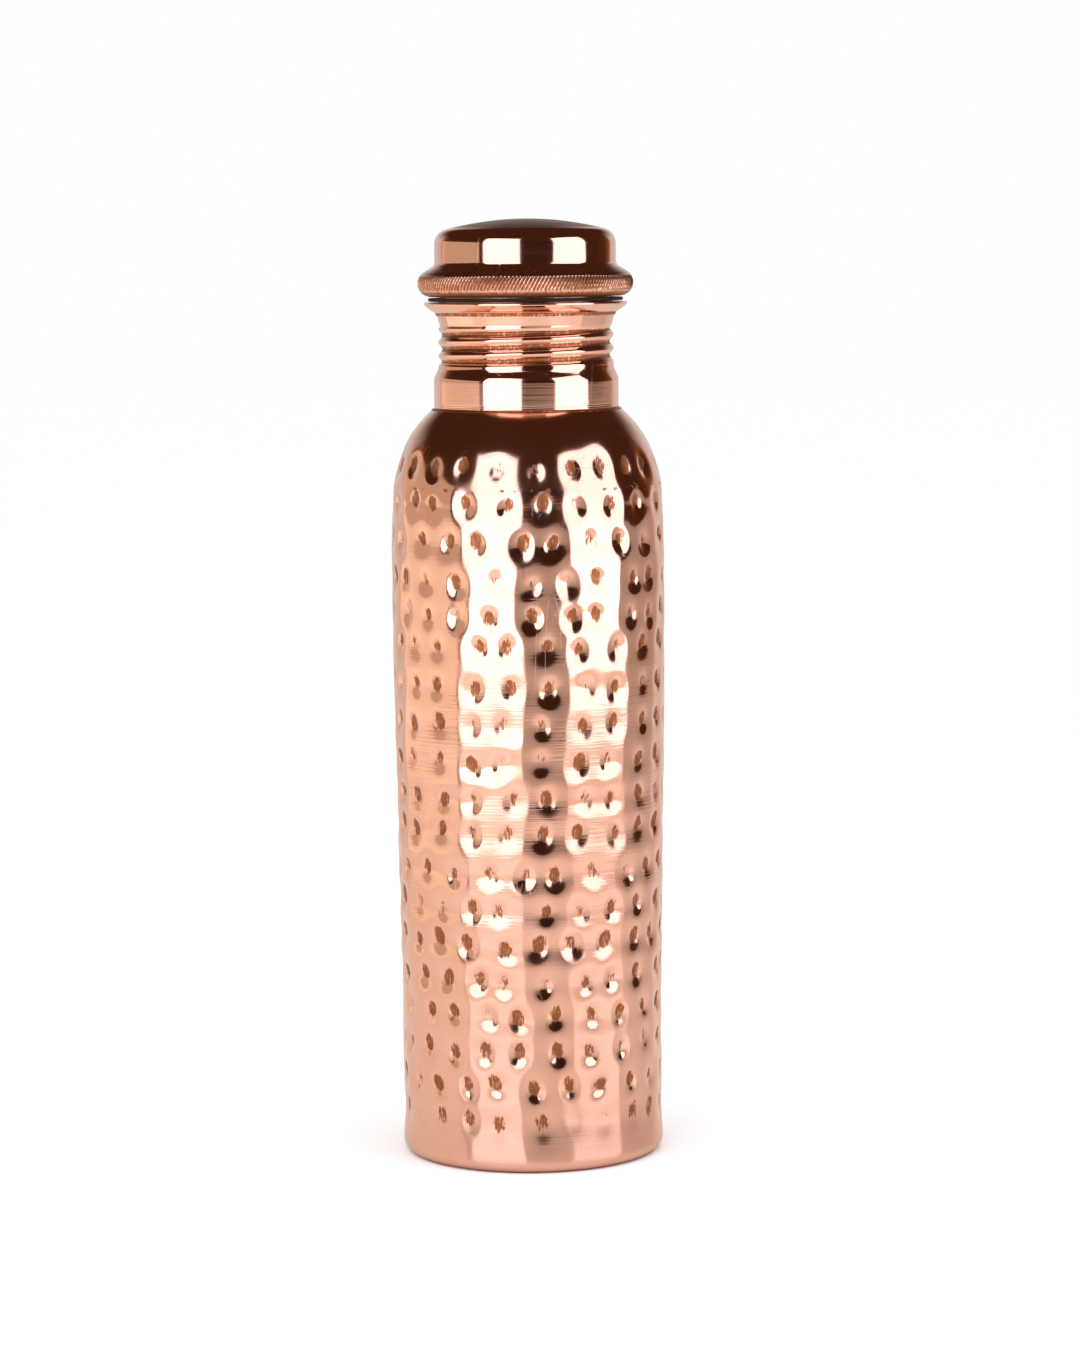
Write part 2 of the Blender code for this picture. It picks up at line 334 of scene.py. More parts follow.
def face_out(item):
    """Turn an open sheet's faces away from the axis."""
    outwards = sum(face.normal.x * face.center.x + face.normal.y * face.center.y
                   for face in item.data.polygons)
    if outwards < 0.0:
        pick(item)
        bpy.ops.object.mode_set(mode="EDIT")
        bpy.ops.mesh.select_all(action="SELECT")
        bpy.ops.mesh.flip_normals()
        bpy.ops.object.mode_set(mode="OBJECT")
    return item


def apply(item, modifier):
    """Apply one modifier."""
    pick(item)
    bpy.ops.object.modifier_apply(modifier=modifier.name)


def thicken(item, thickness=SHEET):
    """Give an open sheet its thickness, inwards from the side that shows."""
    wall = item.modifiers.new("sheet", "SOLIDIFY")
    wall.thickness = thickness
    wall.offset = -1.0
    wall.use_even_offset = True
    apply(item, wall)


def places(item):
    """Return the vertices as radius, angle and height arrays."""
    spots = np.empty(len(item.data.vertices) * 3)
    item.data.vertices.foreach_get("co", spots)
    spots = spots.reshape(-1, 3)
    return np.hypot(spots[:, 0], spots[:, 1]), np.arctan2(spots[:, 1], spots[:, 0]), spots[:, 2]


def press(item, depth):
    """Push the surface in along its normals by a depth in metres for each vertex."""
    deepest = float(depth.max())
    marks = item.vertex_groups.new(name="pressed")
    for index, share in enumerate((depth / deepest).tolist()):
        if share > 0.0:
            marks.add([index], share, "REPLACE")
    push = item.modifiers.new("press", "DISPLACE")
    push.vertex_group = marks.name
    push.direction = "NORMAL"
    push.mid_level = 0.0
    push.strength = -deepest
    apply(item, push)
    item.vertex_groups.clear()


def record_mask(item, name, values):
    """Store one value for each vertex, for the materials to read."""
    mask = item.data.attributes.new(name, "FLOAT", "POINT")
    mask.data.foreach_set("value", np.asarray(values, np.float32))


def smooth(item, angle=40.0):
    """Shade smooth, but keep edges sharper than an angle in degrees."""
    pick(item)
    bpy.ops.object.shade_smooth_by_angle(angle=math.radians(angle))


def seat(item, body, slot, material, *nodes):
    """Give a finished piece its material, its body and its CAD nodes. The slot is not used."""
    item.data.materials.clear()
    item.data.materials.append(material)
    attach(item, body)
    if nodes:
        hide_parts(*nodes)
    item.data.calc_loop_triangles()
    print(item.name, len(item.data.loop_triangles), "triangles on", body)


print("turning helpers ready")

# %% [markdown]
# ## Outlines from arcs and rows
# The outlines are short lists of straight rows and arcs. The rows lie close enough
# together for the marks that are pressed in later, so the spacing differs from wall
# to wall. The inner side of a wall is the same outline, moved inwards by the sheet.

# %% Outline helpers
def ramp(height, start, end):
    """Rise smoothly from 0 at start to 1 at end."""
    share = np.clip((height - start) / (end - start), 0.0, 1.0)
    return share * share * (3.0 - 2.0 * share)


def arc(centre, radius, start, end, steps):
    """Return points on an arc; angles in degrees from the outward direction."""
    angles = [math.radians(start + (end - start) * step / steps) for step in range(steps + 1)]
    return [(centre[0] + radius * math.cos(angle), centre[1] + radius * math.sin(angle))
            for angle in angles]


def rows_down(radius_at, top, bottom, spacing):
    """Return a wall's points from top to bottom, about one spacing apart."""
    count = max(1, round((top - bottom) / spacing))
    heights = [top + (bottom - top) * step / count for step in range(count + 1)]
    return [(float(radius_at(height)), height) for height in heights]


def inner_side(outline, thickness=SHEET):
    """Return an outline that runs down its outer side, moved inwards by a thickness."""
    normals = []
    for (radius, height), (next_radius, next_height) in zip(outline, outline[1:]):
        length = math.hypot(next_radius - radius, next_height - height)
        normals.append(((next_height - height) / length, -(next_radius - radius) / length))
    moved = []
    for index, (radius, height) in enumerate(outline):
        before = normals[max(index - 1, 0)]
        after = normals[min(index, len(normals) - 1)]
        across = (before[0] + after[0], before[1] + after[1])
        reach = 2.0 * thickness / (across[0] ** 2 + across[1] ** 2)
        moved.append((max(radius + across[0] * reach, 0.0), height + across[1] * reach))
    return moved


print("outline helpers ready")

# %% [markdown]
# ## The body's line
# Barrel and shoulder share one line: a straight-looking wall that swells by a millimetre
# and a half towards the top, then a quarter round that leads to the neck. A lathe
# template of three stretches says it all, so it is a function and not a list of points.

# %% Sizes of the body
FOOT_RADIUS = 0.03725
SWELL = 0.0016
SWELL_HEIGHT = 0.166
TOP_TAPER = 0.00035
SHOULDER_START = 0.186
SHOULDER_CURVE = 0.0348
SHOULDER_CENTRE = FOOT_RADIUS + SWELL - TOP_TAPER - SHOULDER_CURVE
FOOT_CORNER = 0.0034
FOOT_FLANGE = 0.0045
SEAM_LAP = 0.005

SEAM_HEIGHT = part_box("barrel")[1].z
NECK_RADIUS = 0.02615
NECK_HOLE = NECK_RADIUS + GAP
NECK_BASE = SHOULDER_START + math.sqrt(SHOULDER_CURVE ** 2 - (NECK_HOLE - SHOULDER_CENTRE) ** 2)


def body_radius(height):
    """Return the outer radius of barrel and shoulder at a height."""
    if height > SHOULDER_START:
        rise = height - SHOULDER_START
        return SHOULDER_CENTRE + math.sqrt(max(SHOULDER_CURVE ** 2 - rise ** 2, 0.0))
    if height > SWELL_HEIGHT:
        share = (height - SWELL_HEIGHT) / (SHOULDER_START - SWELL_HEIGHT)
        return FOOT_RADIUS + SWELL - TOP_TAPER * share ** 2
    share = max(height - FOOT_CORNER, 0.0) / (SWELL_HEIGHT - FOOT_CORNER)
    return FOOT_RADIUS + SWELL * (1.0 - math.cos(math.pi * share)) / 2.0


print("body", round(2 * body_radius(SWELL_HEIGHT), 4), "m wide, seam at", round(SEAM_HEIGHT, 4))

# %% [markdown]
# ## The hammer's marks
# The smith sets the bottle on a stake and strikes row after row with a small ball-faced
# hammer. Each blow leaves a wide shallow basin with a small deeper core. A bump map
# would look flat at the edge of the bottle, so the marks are real: each vertex gets the
# sum of all the blows near it. The rows are nearly level and evenly spaced, but no hand
# is exact, so a fixed random sequence shifts, turns and scales every blow.

# %% Strike the marks
MARK_ROWS = 19
MARKS_ROUND = 23
TOP_ROW = 0.1965
LOWEST_ROW = 0.0134
BASIN = (0.0040, 0.0046, 0.00050)
CORE = (0.0021, 0.0028, 0.00046)
VALLEY = (0.0036, 0.00016)
CORE_EDGE = 1.35
TARNISH = (0.0018, 0.0026)


def row_height(row):
    """Return a row's mean height."""
    return TOP_ROW + (LOWEST_ROW - TOP_ROW) * row / (MARK_ROWS - 1)


def strike_marks(seed):
    """Return the blows as angle, height, turn, size, depth and tarnish."""
    chance = np.random.default_rng(seed)
    blows = []
    drift = 0.0
    for row in range(MARK_ROWS):
        height = row_height(row) + chance.normal(0.0, 0.0006)
        drift += chance.normal(0.12, 0.22)
        low = row == MARK_ROWS - 1
        for index in range(MARKS_ROUND):
            angle = math.tau * (index + drift + chance.normal(0.0, 0.09)) / MARKS_ROUND
            blows.append({
                "angle": angle,
                "height": height + chance.normal(0.0, 0.0005),
                "turn": chance.normal(0.0, 0.25),
                "size": chance.uniform(0.88, 1.12) * (1.35 if low else 1.0),
                "depth": chance.uniform(0.75, 1.25),
                "core": chance.uniform(0.6, 1.25) * (0.35 if low else 1.0),
                "tarnish": chance.uniform(0.35, 1.0) * (0.6 if low else 1.0),
            })
    return blows


BLOWS = strike_marks(11)


def hammered(angle, height):
    """Return the depth and the tarnish of all the marks at each angle and height."""
    depth = np.zeros(len(angle))
    tarnish = np.zeros(len(angle))
    for row in range(MARK_ROWS):
        middle = row_height(row)
        worn = ramp(middle, 0.030, 0.070) * (1.0 - ramp(middle, 0.088, 0.125))
        depth += worn * VALLEY[1] * np.exp(-((height - middle) / VALLEY[0]) ** 2)
    for blow in BLOWS:
        near = np.abs(height - blow["height"]) < 4.0 * BASIN[1]
        around = angle[near] - blow["angle"]
        around = (around + math.pi) % math.tau - math.pi
        across = around * body_radius(blow["height"]) / blow["size"]
        along = (height[near] - blow["height"]) / blow["size"]
        lean = across * math.cos(blow["turn"]) + along * math.sin(blow["turn"])
        rise = along * math.cos(blow["turn"]) - across * math.sin(blow["turn"])
        basin = np.exp(-(across / BASIN[0]) ** 2 - (along / BASIN[1]) ** 2)
        core = np.exp(-((lean / CORE[0]) ** 2 + (rise / CORE[1]) ** 2) ** CORE_EDGE)
        depth[near] += blow["depth"] * BASIN[2] * basin + blow["core"] * CORE[2] * core
        patch = np.exp(-((lean / TARNISH[0]) ** 2 + ((rise - 0.0010) / TARNISH[1]) ** 2) ** 2)
        tarnish[near] = np.maximum(tarnish[near], blow["tarnish"] * patch)
    return depth, tarnish


def uneven(angle, height, size, seed):
    """Return a slow waviness between 0 and size, as thin sheet always has."""
    chance = np.random.default_rng(seed)
    total = np.zeros(len(angle))
    for _ in range(9):
        around = int(chance.integers(1, 9))
        along = chance.uniform(-220.0, 220.0)
        total += np.sin(around * angle + along * height + chance.uniform(0.0, math.tau))
    return size * (total / 9.0 + 1.0) / 2.0


print(len(BLOWS), "hammer marks")

# %% [markdown]
# ## Fine marks of tool and buffing wheel
# Four effects are shared by all the metals, so each is a node group with named sockets.
# Buff lines are long thin noise, stretched round the axis. Tarnish is a streaky mask
# that darkens what the wheel can't reach. Hairlines are fine crossing scratches, and
# smudges are the slow cloudy changes that hands leave.

# %% Shared node groups
def new_group(name, inputs, outputs):
    """Start a node group with float inputs (name, value) and float outputs."""
    group = bpy.data.node_groups.new(name, "ShaderNodeTree")
    new_socket = group.interface.new_socket
    for label, value in inputs:
        socket = new_socket(name=label, in_out="INPUT", socket_type="NodeSocketFloat")
        socket.default_value = value
    for label in outputs:
        new_socket(name=label, in_out="OUTPUT", socket_type="NodeSocketFloat")
    return group, group.nodes.new("NodeGroupInput"), group.nodes.new("NodeGroupOutput")


def stretched_noise(tree, place, stretch, scale=1.0, detail=2.0, roughness=0.5,
                    spin=(0.0, 0.0, 0.0)):
    """Add noise on a place socket, stretched by three factors after an optional turn."""
    mapping = add(tree, "ShaderNodeMapping", values={"Scale": stretch, "Rotation": spin})
    tree.links.new(place, mapping.inputs["Vector"])
    noise = add(tree, "ShaderNodeTexNoise",
                values={"Scale": scale, "Detail": detail, "Roughness": roughness})
    tree.links.new(mapping.outputs["Vector"], noise.inputs["Vector"])
    return noise.outputs["Fac"]


def make_buff_lines():
    """Lines round the axis; Radial adds the radius, for domes and flat rings."""
    group, given, result = new_group("buff_lines", [("Radial", 0.0)], ["Height", "Patches"])
    place = add(group, "ShaderNodeTexCoord").outputs["Object"]
    axes = add(group, "ShaderNodeSeparateXYZ")
    group.links.new(place, axes.inputs["Vector"])
    flat = add(group, "ShaderNodeVectorMath", operation="MULTIPLY")
    flat.inputs[1].default_value = (1.0, 1.0, 0.0)
    group.links.new(place, flat.inputs[0])
    length = add(group, "ShaderNodeVectorMath", operation="LENGTH")
    group.links.new(flat.outputs["Vector"], length.inputs[0])
    reach = math_node(group, "MULTIPLY", length.outputs["Value"], given.outputs["Radial"])
    travel = math_node(group, "ADD", axes.outputs["Z"], reach)
    join = add(group, "ShaderNodeCombineXYZ")
    group.links.new(axes.outputs["X"], join.inputs["X"])
    group.links.new(axes.outputs["Y"], join.inputs["Y"])
    group.links.new(travel, join.inputs["Z"])
    fine = stretched_noise(group, join.outputs["Vector"], (38.0, 38.0, 6500.0), detail=1.0)
    broad = stretched_noise(group, join.outputs["Vector"], (26.0, 26.0, 1500.0), detail=2.0)
    patches = stretched_noise(group, place, (30.0, 30.0, 55.0), detail=2.0)
    patchy = ramp_node(group, patches, 0.42, 0.62)
    total = math_node(group, "ADD", math_node(group, "MULTIPLY", fine, 0.35), broad)
    group.links.new(total, result.inputs["Height"])
    group.links.new(patchy, result.inputs["Patches"])
    return group


def make_tarnish():
    """Streaks down the wall and fine mottling, cut by a coverage from 0 to 1."""
    group, given, result = new_group("tarnish", [("Coverage", 0.5)], ["Mask"])
    place = add(group, "ShaderNodeTexCoord").outputs["Object"]
    streaks = stretched_noise(group, place, (2300.0, 2300.0, 280.0), detail=2.0, roughness=0.65)
    mottle = stretched_noise(group, place, (900.0, 900.0, 700.0), detail=3.0, roughness=0.6)
    both = math_node(group, "ADD", math_node(group, "MULTIPLY", streaks, 0.6),
                     math_node(group, "MULTIPLY", mottle, 0.4))
    level = math_node(group, "SUBTRACT", 1.0, given.outputs["Coverage"])
    above = math_node(group, "SUBTRACT", both, math_node(group, "MULTIPLY", level, 0.75))
    group.links.new(ramp_node(group, above, 0.0, 0.16), result.inputs["Mask"])
    return group


def make_hairlines():
    """Two crossing sets of thin contour lines, a few of them at a time."""
    group, given, result = new_group("hairlines", [("Width", 0.012)], ["Mask"])
    place = add(group, "ShaderNodeTexCoord").outputs["Object"]
    found = []
    for spin, stretch in (((0.5, 0.3, 0.2), (260.0, 260.0, 22.0)),
                          ((-0.9, 0.4, 0.9), (30.0, 240.0, 280.0))):
        noise = stretched_noise(group, place, stretch, detail=0.0, spin=spin)
        away = math_node(group, "ABSOLUTE", math_node(group, "SUBTRACT", noise, 0.5))
        line = math_node(group, "LESS_THAN", away, given.outputs["Width"])
        chosen = stretched_noise(group, place, (70.0, 70.0, 70.0), detail=1.0, spin=spin)
        found.append(math_node(group, "MULTIPLY", line, ramp_node(group, chosen, 0.55, 0.62)))
    group.links.new(math_node(group, "MAXIMUM", found[0], found[1]), result.inputs["Mask"])
    return group


def make_smudges():
    """Slow cloudy changes, from 0 to 1."""
    group, given, result = new_group("smudges", [("Size", 40.0)], ["Mask"])
    place = add(group, "ShaderNodeTexCoord").outputs["Object"]
    noise = add(group, "ShaderNodeTexNoise",
                values={"Detail": 3.0, "Roughness": 0.55, "Distortion": 0.4})
    group.links.new(place, noise.inputs["Vector"])
    group.links.new(given.outputs["Size"], noise.inputs["Scale"])
    group.links.new(ramp_node(group, noise.outputs["Fac"], 0.35, 0.68), result.inputs["Mask"])
    return group


BUFF_LINES = make_buff_lines()
TARNISH_GROUP = make_tarnish()
HAIRLINES = make_hairlines()
SMUDGES = make_smudges()
print("groups:", ", ".join(group.name for group in bpy.data.node_groups))

# %% [markdown]
# ## The copper finishes
# All the metal is the same copper, finished in different ways. One function builds the
# material from the shared groups, and each finish gives it its own amounts: how strong
# the buff lines are, how much tarnish the recesses hold, how rough the polish is.
# The metallic value is the same everywhere, so it is set on the shader itself.

# %% Copper materials
COPPER = (0.93, 0.56, 0.43)
COPPER_WARM = (0.91, 0.53, 0.39)
COPPER_PAINTED_SHADE = (0.46, 0.24, 0.16)
COPPER_STAIN_AND_SHADE = (0.37, 0.135, 0.055)


def mask_node(tree, name):
    """Read a mask that was stored on the piece's vertices."""
    mask = add(tree, "ShaderNodeAttribute", attribute_type="GEOMETRY", attribute_name=name)
    return mask.outputs["Fac"]


def copper(name, roughness, lines, radial=0.0, tarnish=0.25, stained=0.0, colour=COPPER, dull=0.0):
    """Return a copper finish.

    lines is the slope that the buff lines give the surface, tarnish the share of the
    stain mask that turns brown, and stained an even mottled stain all over. On the cap
    that mask also holds painted shade under the bead.
    """
    material = bpy.data.materials.new(name)
    material.use_nodes = True
    tree = material.node_tree
    shader = tree.nodes["Principled BSDF"]
    shader.inputs["Metallic"].default_value = 1.0

    def effect(group, **values):
        node = add(tree, "ShaderNodeGroup", node_tree=group)
        for label, value in values.items():
            node.inputs[label].default_value = value
        return node.outputs

    buff = effect(BUFF_LINES, Radial=radial)
    marks = effect(TARNISH_GROUP, Coverage=0.56)["Mask"]
    held = add(tree, "ShaderNodeGroup", node_tree=TARNISH_GROUP)
    fine = effect(HAIRLINES, Width=0.010)["Mask"]
    cloud = effect(SMUDGES, Size=38.0)["Mask"]
    stain_and_shade = mask_node(tree, "stain_and_shade")
    brushed = mask_node(tree, "brushed")
    painted_shade = mask_node(tree, "painted_shade")

    tree.links.new(math_node(tree, "MULTIPLY", stain_and_shade, tarnish), held.inputs["Coverage"])
    streaked = math_node(tree, "ADD", 0.42, math_node(tree, "MULTIPLY", marks, 0.58))
    brown = math_node(tree, "MULTIPLY", held.outputs["Mask"], streaked, clamp=True)
    if stained:
        even = math_node(tree, "MULTIPLY", math_node(tree, "MULTIPLY", marks, cloud), stained)
        brown = math_node(tree, "MAXIMUM", brown, even)
    clean = mix_colour(tree, cloud, colour, COPPER_WARM)
    # Where the cap's mask is set, the copper turns dark brown: painted shade on the dome top and
    # bead face.
    clean = mix_colour(tree, painted_shade, clean, COPPER_PAINTED_SHADE)
    # The stain colour mixes in by the stain mask: tarnish in recesses, and on the cap also painted
    # shade under the bead.
    tree.links.new(mix_colour(tree, brown, clean, COPPER_STAIN_AND_SHADE), shader.inputs["Base Color"])

    rough = roughness
    for mask, share in ((cloud, 0.03), (brown, 0.34), (painted_shade, 0.26), (fine, 0.10)):
        rough = math_node(tree, "ADD", rough, math_node(tree, "MULTIPLY", mask, share))
    patchy = math_node(tree, "MULTIPLY", buff["Patches"], dull)
    rough = math_node(tree, "ADD", rough, patchy, clamp=True)
    tree.links.new(rough, shader.inputs["Roughness"])

    strength = math_node(tree, "ADD", 0.25, math_node(tree, "MULTIPLY", buff["Patches"], 0.75))
    strength = math_node(tree, "ADD", strength, math_node(tree, "MULTIPLY", brushed, 5.0))
    relief = math_node(tree, "MULTIPLY", buff["Height"], strength)
    relief = math_node(tree, "SUBTRACT", relief, math_node(tree, "MULTIPLY", fine, 0.4))
    relief = math_node(tree, "SUBTRACT", relief, math_node(tree, "MULTIPLY", brown, 0.8))
    bump = add(tree, "ShaderNodeBump", values={"Strength": 1.0, "Distance": lines / 1500.0})
    tree.links.new(relief, bump.inputs["Height"])
    tree.links.new(bump.outputs["Normal"], shader.inputs["Normal"])
    return material


HAMMERED = copper("hammered_copper", 0.07, 0.019, tarnish=1.0, dull=0.05)
SPUN = copper("spun_copper", 0.09, 0.026, radial=0.6, tarnish=1.0, dull=0.06)
POLISHED = copper("polished_copper", 0.075, 0.012, radial=0.4, tarnish=0.9)
PLAIN = copper("plain_copper", 0.28, 0.03, tarnish=1.0, stained=0.7, colour=COPPER_WARM, dull=0.1)
BRAZE = copper("brazed_copper", 0.24, 0.05, tarnish=1.0, stained=0.8, colour=(0.80, 0.44, 0.30))
print("copper finishes ready")

# %% [markdown]
# ## The gasket's silicone
# The washer that seals the cap is plain food-grade silicone, slightly see-through in life.
# Here it is painted a near-black brown with a soft sheen: painted shade for the narrow dark slot.

# %% Silicone material
# Painted shade: the silicone is given a near-black brown for the dark slot it sits in.
SILICONE_IN_SHADE = (0.030, 0.018, 0.013)
SILICONE_IN_SHADE_DUSTY = (0.050, 0.030, 0.022)
SILICONE = bpy.data.materials.new("silicone")
SILICONE.use_nodes = True
tree = SILICONE.node_tree
shader = tree.nodes["Principled BSDF"]
dust = add(tree, "ShaderNodeGroup", node_tree=SMUDGES)
dust.inputs["Size"].default_value = 160.0
dusty = dust.outputs["Mask"]
tint = mix_colour(tree, dusty, SILICONE_IN_SHADE, SILICONE_IN_SHADE_DUSTY)
tree.links.new(tint, shader.inputs["Base Color"])
tree.links.new(ramp_node(tree, dusty, 0.0, 1.0, 0.60, 0.75), shader.inputs["Roughness"])
shader.inputs["Specular IOR Level"].default_value = 0.08
print("silicone ready")

# %% [markdown]
# ## The barrel
# The barrel is the long tube that carries nearly all the marks. Its outer skin needs a
# dense mesh for them, and its inner skin does not, so the two are spun separately, both
# are struck with the same marks, and the open rims are bridged. One solid wall made
# with Solidify would need twice the faces for the same sharpness outside.

# %% Spin and hammer the barrel
BARREL_COLUMNS = 360
BARREL_ROW = 0.00079
INSIDE_COLUMNS = 120
INSIDE_ROW = 0.0030


def barrel_outline(row, corner_steps):
    """Return the outer side of the tube, from the seam to the turned-in foot."""
    corner = (FOOT_RADIUS - FOOT_CORNER, FOOT_CORNER)
    outline = rows_down(body_radius, SEAM_HEIGHT, FOOT_CORNER, row)
    outline += arc(corner, FOOT_CORNER, 0.0, -90.0, corner_steps)[1:]
    outline.append((corner[0] - FOOT_FLANGE, 0.0))
    return outline


def seam_scuffs(angle, height):
    """Return the patches of stain that the file left along the seam."""
    near = np.exp(-((height - SEAM_HEIGHT) / 0.0007) ** 2)
    return 0.75 * near * ramp(uneven(8.0 * angle, 3.0 * height, 1.0, 17), 0.52, 0.66)


def strike(item):
    """Press the hammer's marks into a sheet; they fade out above the foot."""
    radius, angle, height = places(item)
    depth, tarnish = hammered(angle, height)
    above_foot = ramp(height, 0.0022, 0.0075)
    press(item, (depth + uneven(angle, height, 0.00010, 5)) * above_foot)
    record_mask(item, "stain_and_shade", np.maximum(tarnish * above_foot, seam_scuffs(angle, height)))
    worked = ramp(height, 0.055, 0.085) * (1.0 - ramp(height, 0.130, 0.160))
    record_mask(item, "brushed", worked * ramp(uneven(angle, height, 1.0, 31), 0.40, 0.62))


def close_rim(item, low, high):
    """Bridge the two open loops that lie between two heights."""
    pick(item)
    bpy.ops.object.mode_set(mode="EDIT")
    bpy.ops.mesh.select_mode(type="EDGE")
    bpy.ops.mesh.select_all(action="DESELECT")
    bpy.ops.mesh.select_non_manifold(extend=False, use_wire=False, use_boundary=True,
                                     use_multi_face=False, use_non_contiguous=False,
                                     use_verts=False)
    bpy.ops.object.mode_set(mode="OBJECT")
    heights = [vertex.co.z for vertex in item.data.vertices]
    for edge in item.data.edges:
        if edge.select:
            edge.select = low <= heights[edge.vertices[0]] <= high
    bpy.ops.object.mode_set(mode="EDIT")
    bpy.ops.mesh.bridge_edge_loops()
    bpy.ops.object.mode_set(mode="OBJECT")


def join_skins(outer, inner):
    """Turn the inner skin's faces to the hollow and join both skins into one piece."""
    pick(inner)
    bpy.ops.object.mode_set(mode="EDIT")
    bpy.ops.mesh.select_all(action="SELECT")
    bpy.ops.mesh.flip_normals()
    bpy.ops.object.mode_set(mode="OBJECT")
    pick(outer)
    inner.select_set(True)
    bpy.ops.object.join()
    return outer


barrel = face_out(spun("barrel_copper", barrel_outline(BARREL_ROW, 10), BARREL_COLUMNS))
strike(barrel)
inside = face_out(spun("barrel_inside", inner_side(barrel_outline(INSIDE_ROW, 6)), INSIDE_COLUMNS))
strike(inside)
barrel = join_skins(barrel, inside)
close_rim(barrel, SEAM_HEIGHT - 0.002, SEAM_HEIGHT + 0.002)
close_rim(barrel, -0.002, 0.002)
smooth(barrel)
seat(barrel, "bottle", "hammered_copper", HAMMERED, "barrel")

# %% [markdown]
# ## The shoulder
# The shoulder is spun from a disc. Its upper part keeps the fine rings of the lathe and
# the first row of hammer marks runs round it just above the seam. Its lower edge is
# stepped in to sit inside the barrel. The skin that shows and the hidden lap are spun
# one after the other, so that the marks press the edge of the skin straight inwards.

# %% Spin the shoulder
SHOULDER_COLUMNS = 360
LAP_INSET = SHEET + GAP
SEAM_LINE = 0.000015
LAP_TOP = SEAM_HEIGHT + 0.0012

outline = rows_down(body_radius, NECK_BASE, SEAM_HEIGHT + SEAM_LINE, 0.0005)
shoulder = face_out(spun("shoulder_copper", outline, SHOULDER_COLUMNS))
radius, angle, height = places(shoulder)
depth, tarnish = hammered(angle, height)
free = 1.0 - ramp(height, 0.2035, 0.2085)
press(shoulder, depth * free + uneven(angle, height, 0.00010, 5))
record_mask(shoulder, "stain_and_shade", np.maximum(tarnish * free, seam_scuffs(angle, height)))
thicken(shoulder)

outline = [(body_radius(LAP_TOP) - SHEET * 0.9, LAP_TOP)]
outline += rows_down(lambda height: body_radius(height) - LAP_INSET,
                     SEAM_HEIGHT - GAP, SEAM_HEIGHT - SEAM_LAP, 0.0012)
lap = face_out(spun("shoulder_lap", outline, INSIDE_COLUMNS))
radius, angle, height = places(lap)
press(lap, hammered(angle, height)[0] + uneven(angle, height, 0.00010, 5))
thicken(lap)
pick(shoulder)
lap.select_set(True)
bpy.ops.object.join()
smooth(shoulder)
seat(shoulder, "bottle", "spun_copper", SPUN, "shoulder")

# %% [markdown]
# ## The neck collar
# The collar is a short drawn tube: a plain band, a step in to the thread, the thread,
# and a band under the lip. The thread is rolled through the thin wall, so it shows on
# both sides. It could be cut with a screw-shaped Boolean; pressing a helical wave into
# the tube gives the soft round crests that rolled thread really has. Two fine lines are
# scribed at the foot, where the collar was marked off.

# %% Roll the neck collar
THREAD_RADIUS = 0.02485
THREAD_PITCH = 0.00385
THREAD_DEPTH = 0.00115
THREAD_HEIGHT = 0.0118
THREAD_START = 0.0048
RUN_OUT = 0.0015
PLAIN_HEIGHT = 0.0062
DRAW_HEIGHT = 0.0057
BAND_STEP = 0.00055
NECK_TUCK = 0.003
THREAD_LOW = NECK_BASE + PLAIN_HEIGHT + DRAW_HEIGHT
THREAD_HIGH = THREAD_LOW + THREAD_HEIGHT
THREAD_CREST = THREAD_LOW + THREAD_START
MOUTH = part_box("neck_collar")[1].z
FLARE_LOW = THREAD_HIGH - 0.0003
FLARE_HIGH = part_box("lip_ring")[0].z + 0.0004
FLARE_HOLLOW = 0.00045
COLLAR_COLUMNS = 288


def collar_radius(height):
    """Return the collar's outer radius before its thread is rolled."""
    drawn = ramp(height, THREAD_LOW - DRAW_HEIGHT + 0.0018, THREAD_LOW)
    flare = np.clip((height - FLARE_LOW) / (FLARE_HIGH - FLARE_LOW), 0.0, 1.0)
    hollow = FLARE_HOLLOW * ramp(height, FLARE_LOW - RUN_OUT, FLARE_LOW) * (1.0 - flare)
    scribed = sum(math.exp(-((height - NECK_BASE - rise) / 0.00010) ** 2)
                  for rise in (0.0008, 0.0013))
    return (NECK_RADIUS + (THREAD_RADIUS - NECK_RADIUS) * drawn + BAND_STEP * flare
            - hollow - 0.00004 * scribed)


def thread_wave(angle, height, low, low_end, high_start, high):
    """Return the depth of the helical groove, fading at both ends."""
    wave = np.cos(math.tau * ((height - THREAD_CREST) / THREAD_PITCH - angle / math.tau))
    fade = ramp(height, low, low_end) * (1.0 - ramp(height, high_start, high))
    return THREAD_DEPTH * fade * (1.0 - wave) / 2.0


plain_top = THREAD_LOW - DRAW_HEIGHT
outline = rows_down(collar_radius, MOUTH, FLARE_HIGH, 0.0011)
outline += rows_down(collar_radius, FLARE_HIGH, THREAD_LOW, 0.00025)[1:]
outline += rows_down(collar_radius, THREAD_LOW, plain_top, 0.00038)[1:]
outline += rows_down(collar_radius, plain_top, NECK_BASE + 0.0018, 0.0011)[1:]
outline += rows_down(collar_radius, NECK_BASE + 0.0018, NECK_BASE + 0.0004, 0.00007)[1:]
outline += rows_down(collar_radius, NECK_BASE + 0.0004, NECK_BASE - NECK_TUCK, 0.0012)[1:]
collar = face_out(spun("neck_copper", outline, COLLAR_COLUMNS))
radius, angle, height = places(collar)
groove = thread_wave(angle, height, THREAD_LOW, THREAD_LOW + RUN_OUT,
                     THREAD_HIGH - RUN_OUT, THREAD_HIGH)
ripple = uneven(angle, height, 0.00013, 8)
press(collar, groove + ripple)
record_mask(collar, "stain_and_shade", np.clip(groove / THREAD_DEPTH * 1.3 - 0.45, 0.0, 1.0))
thicken(collar)
smooth(collar)
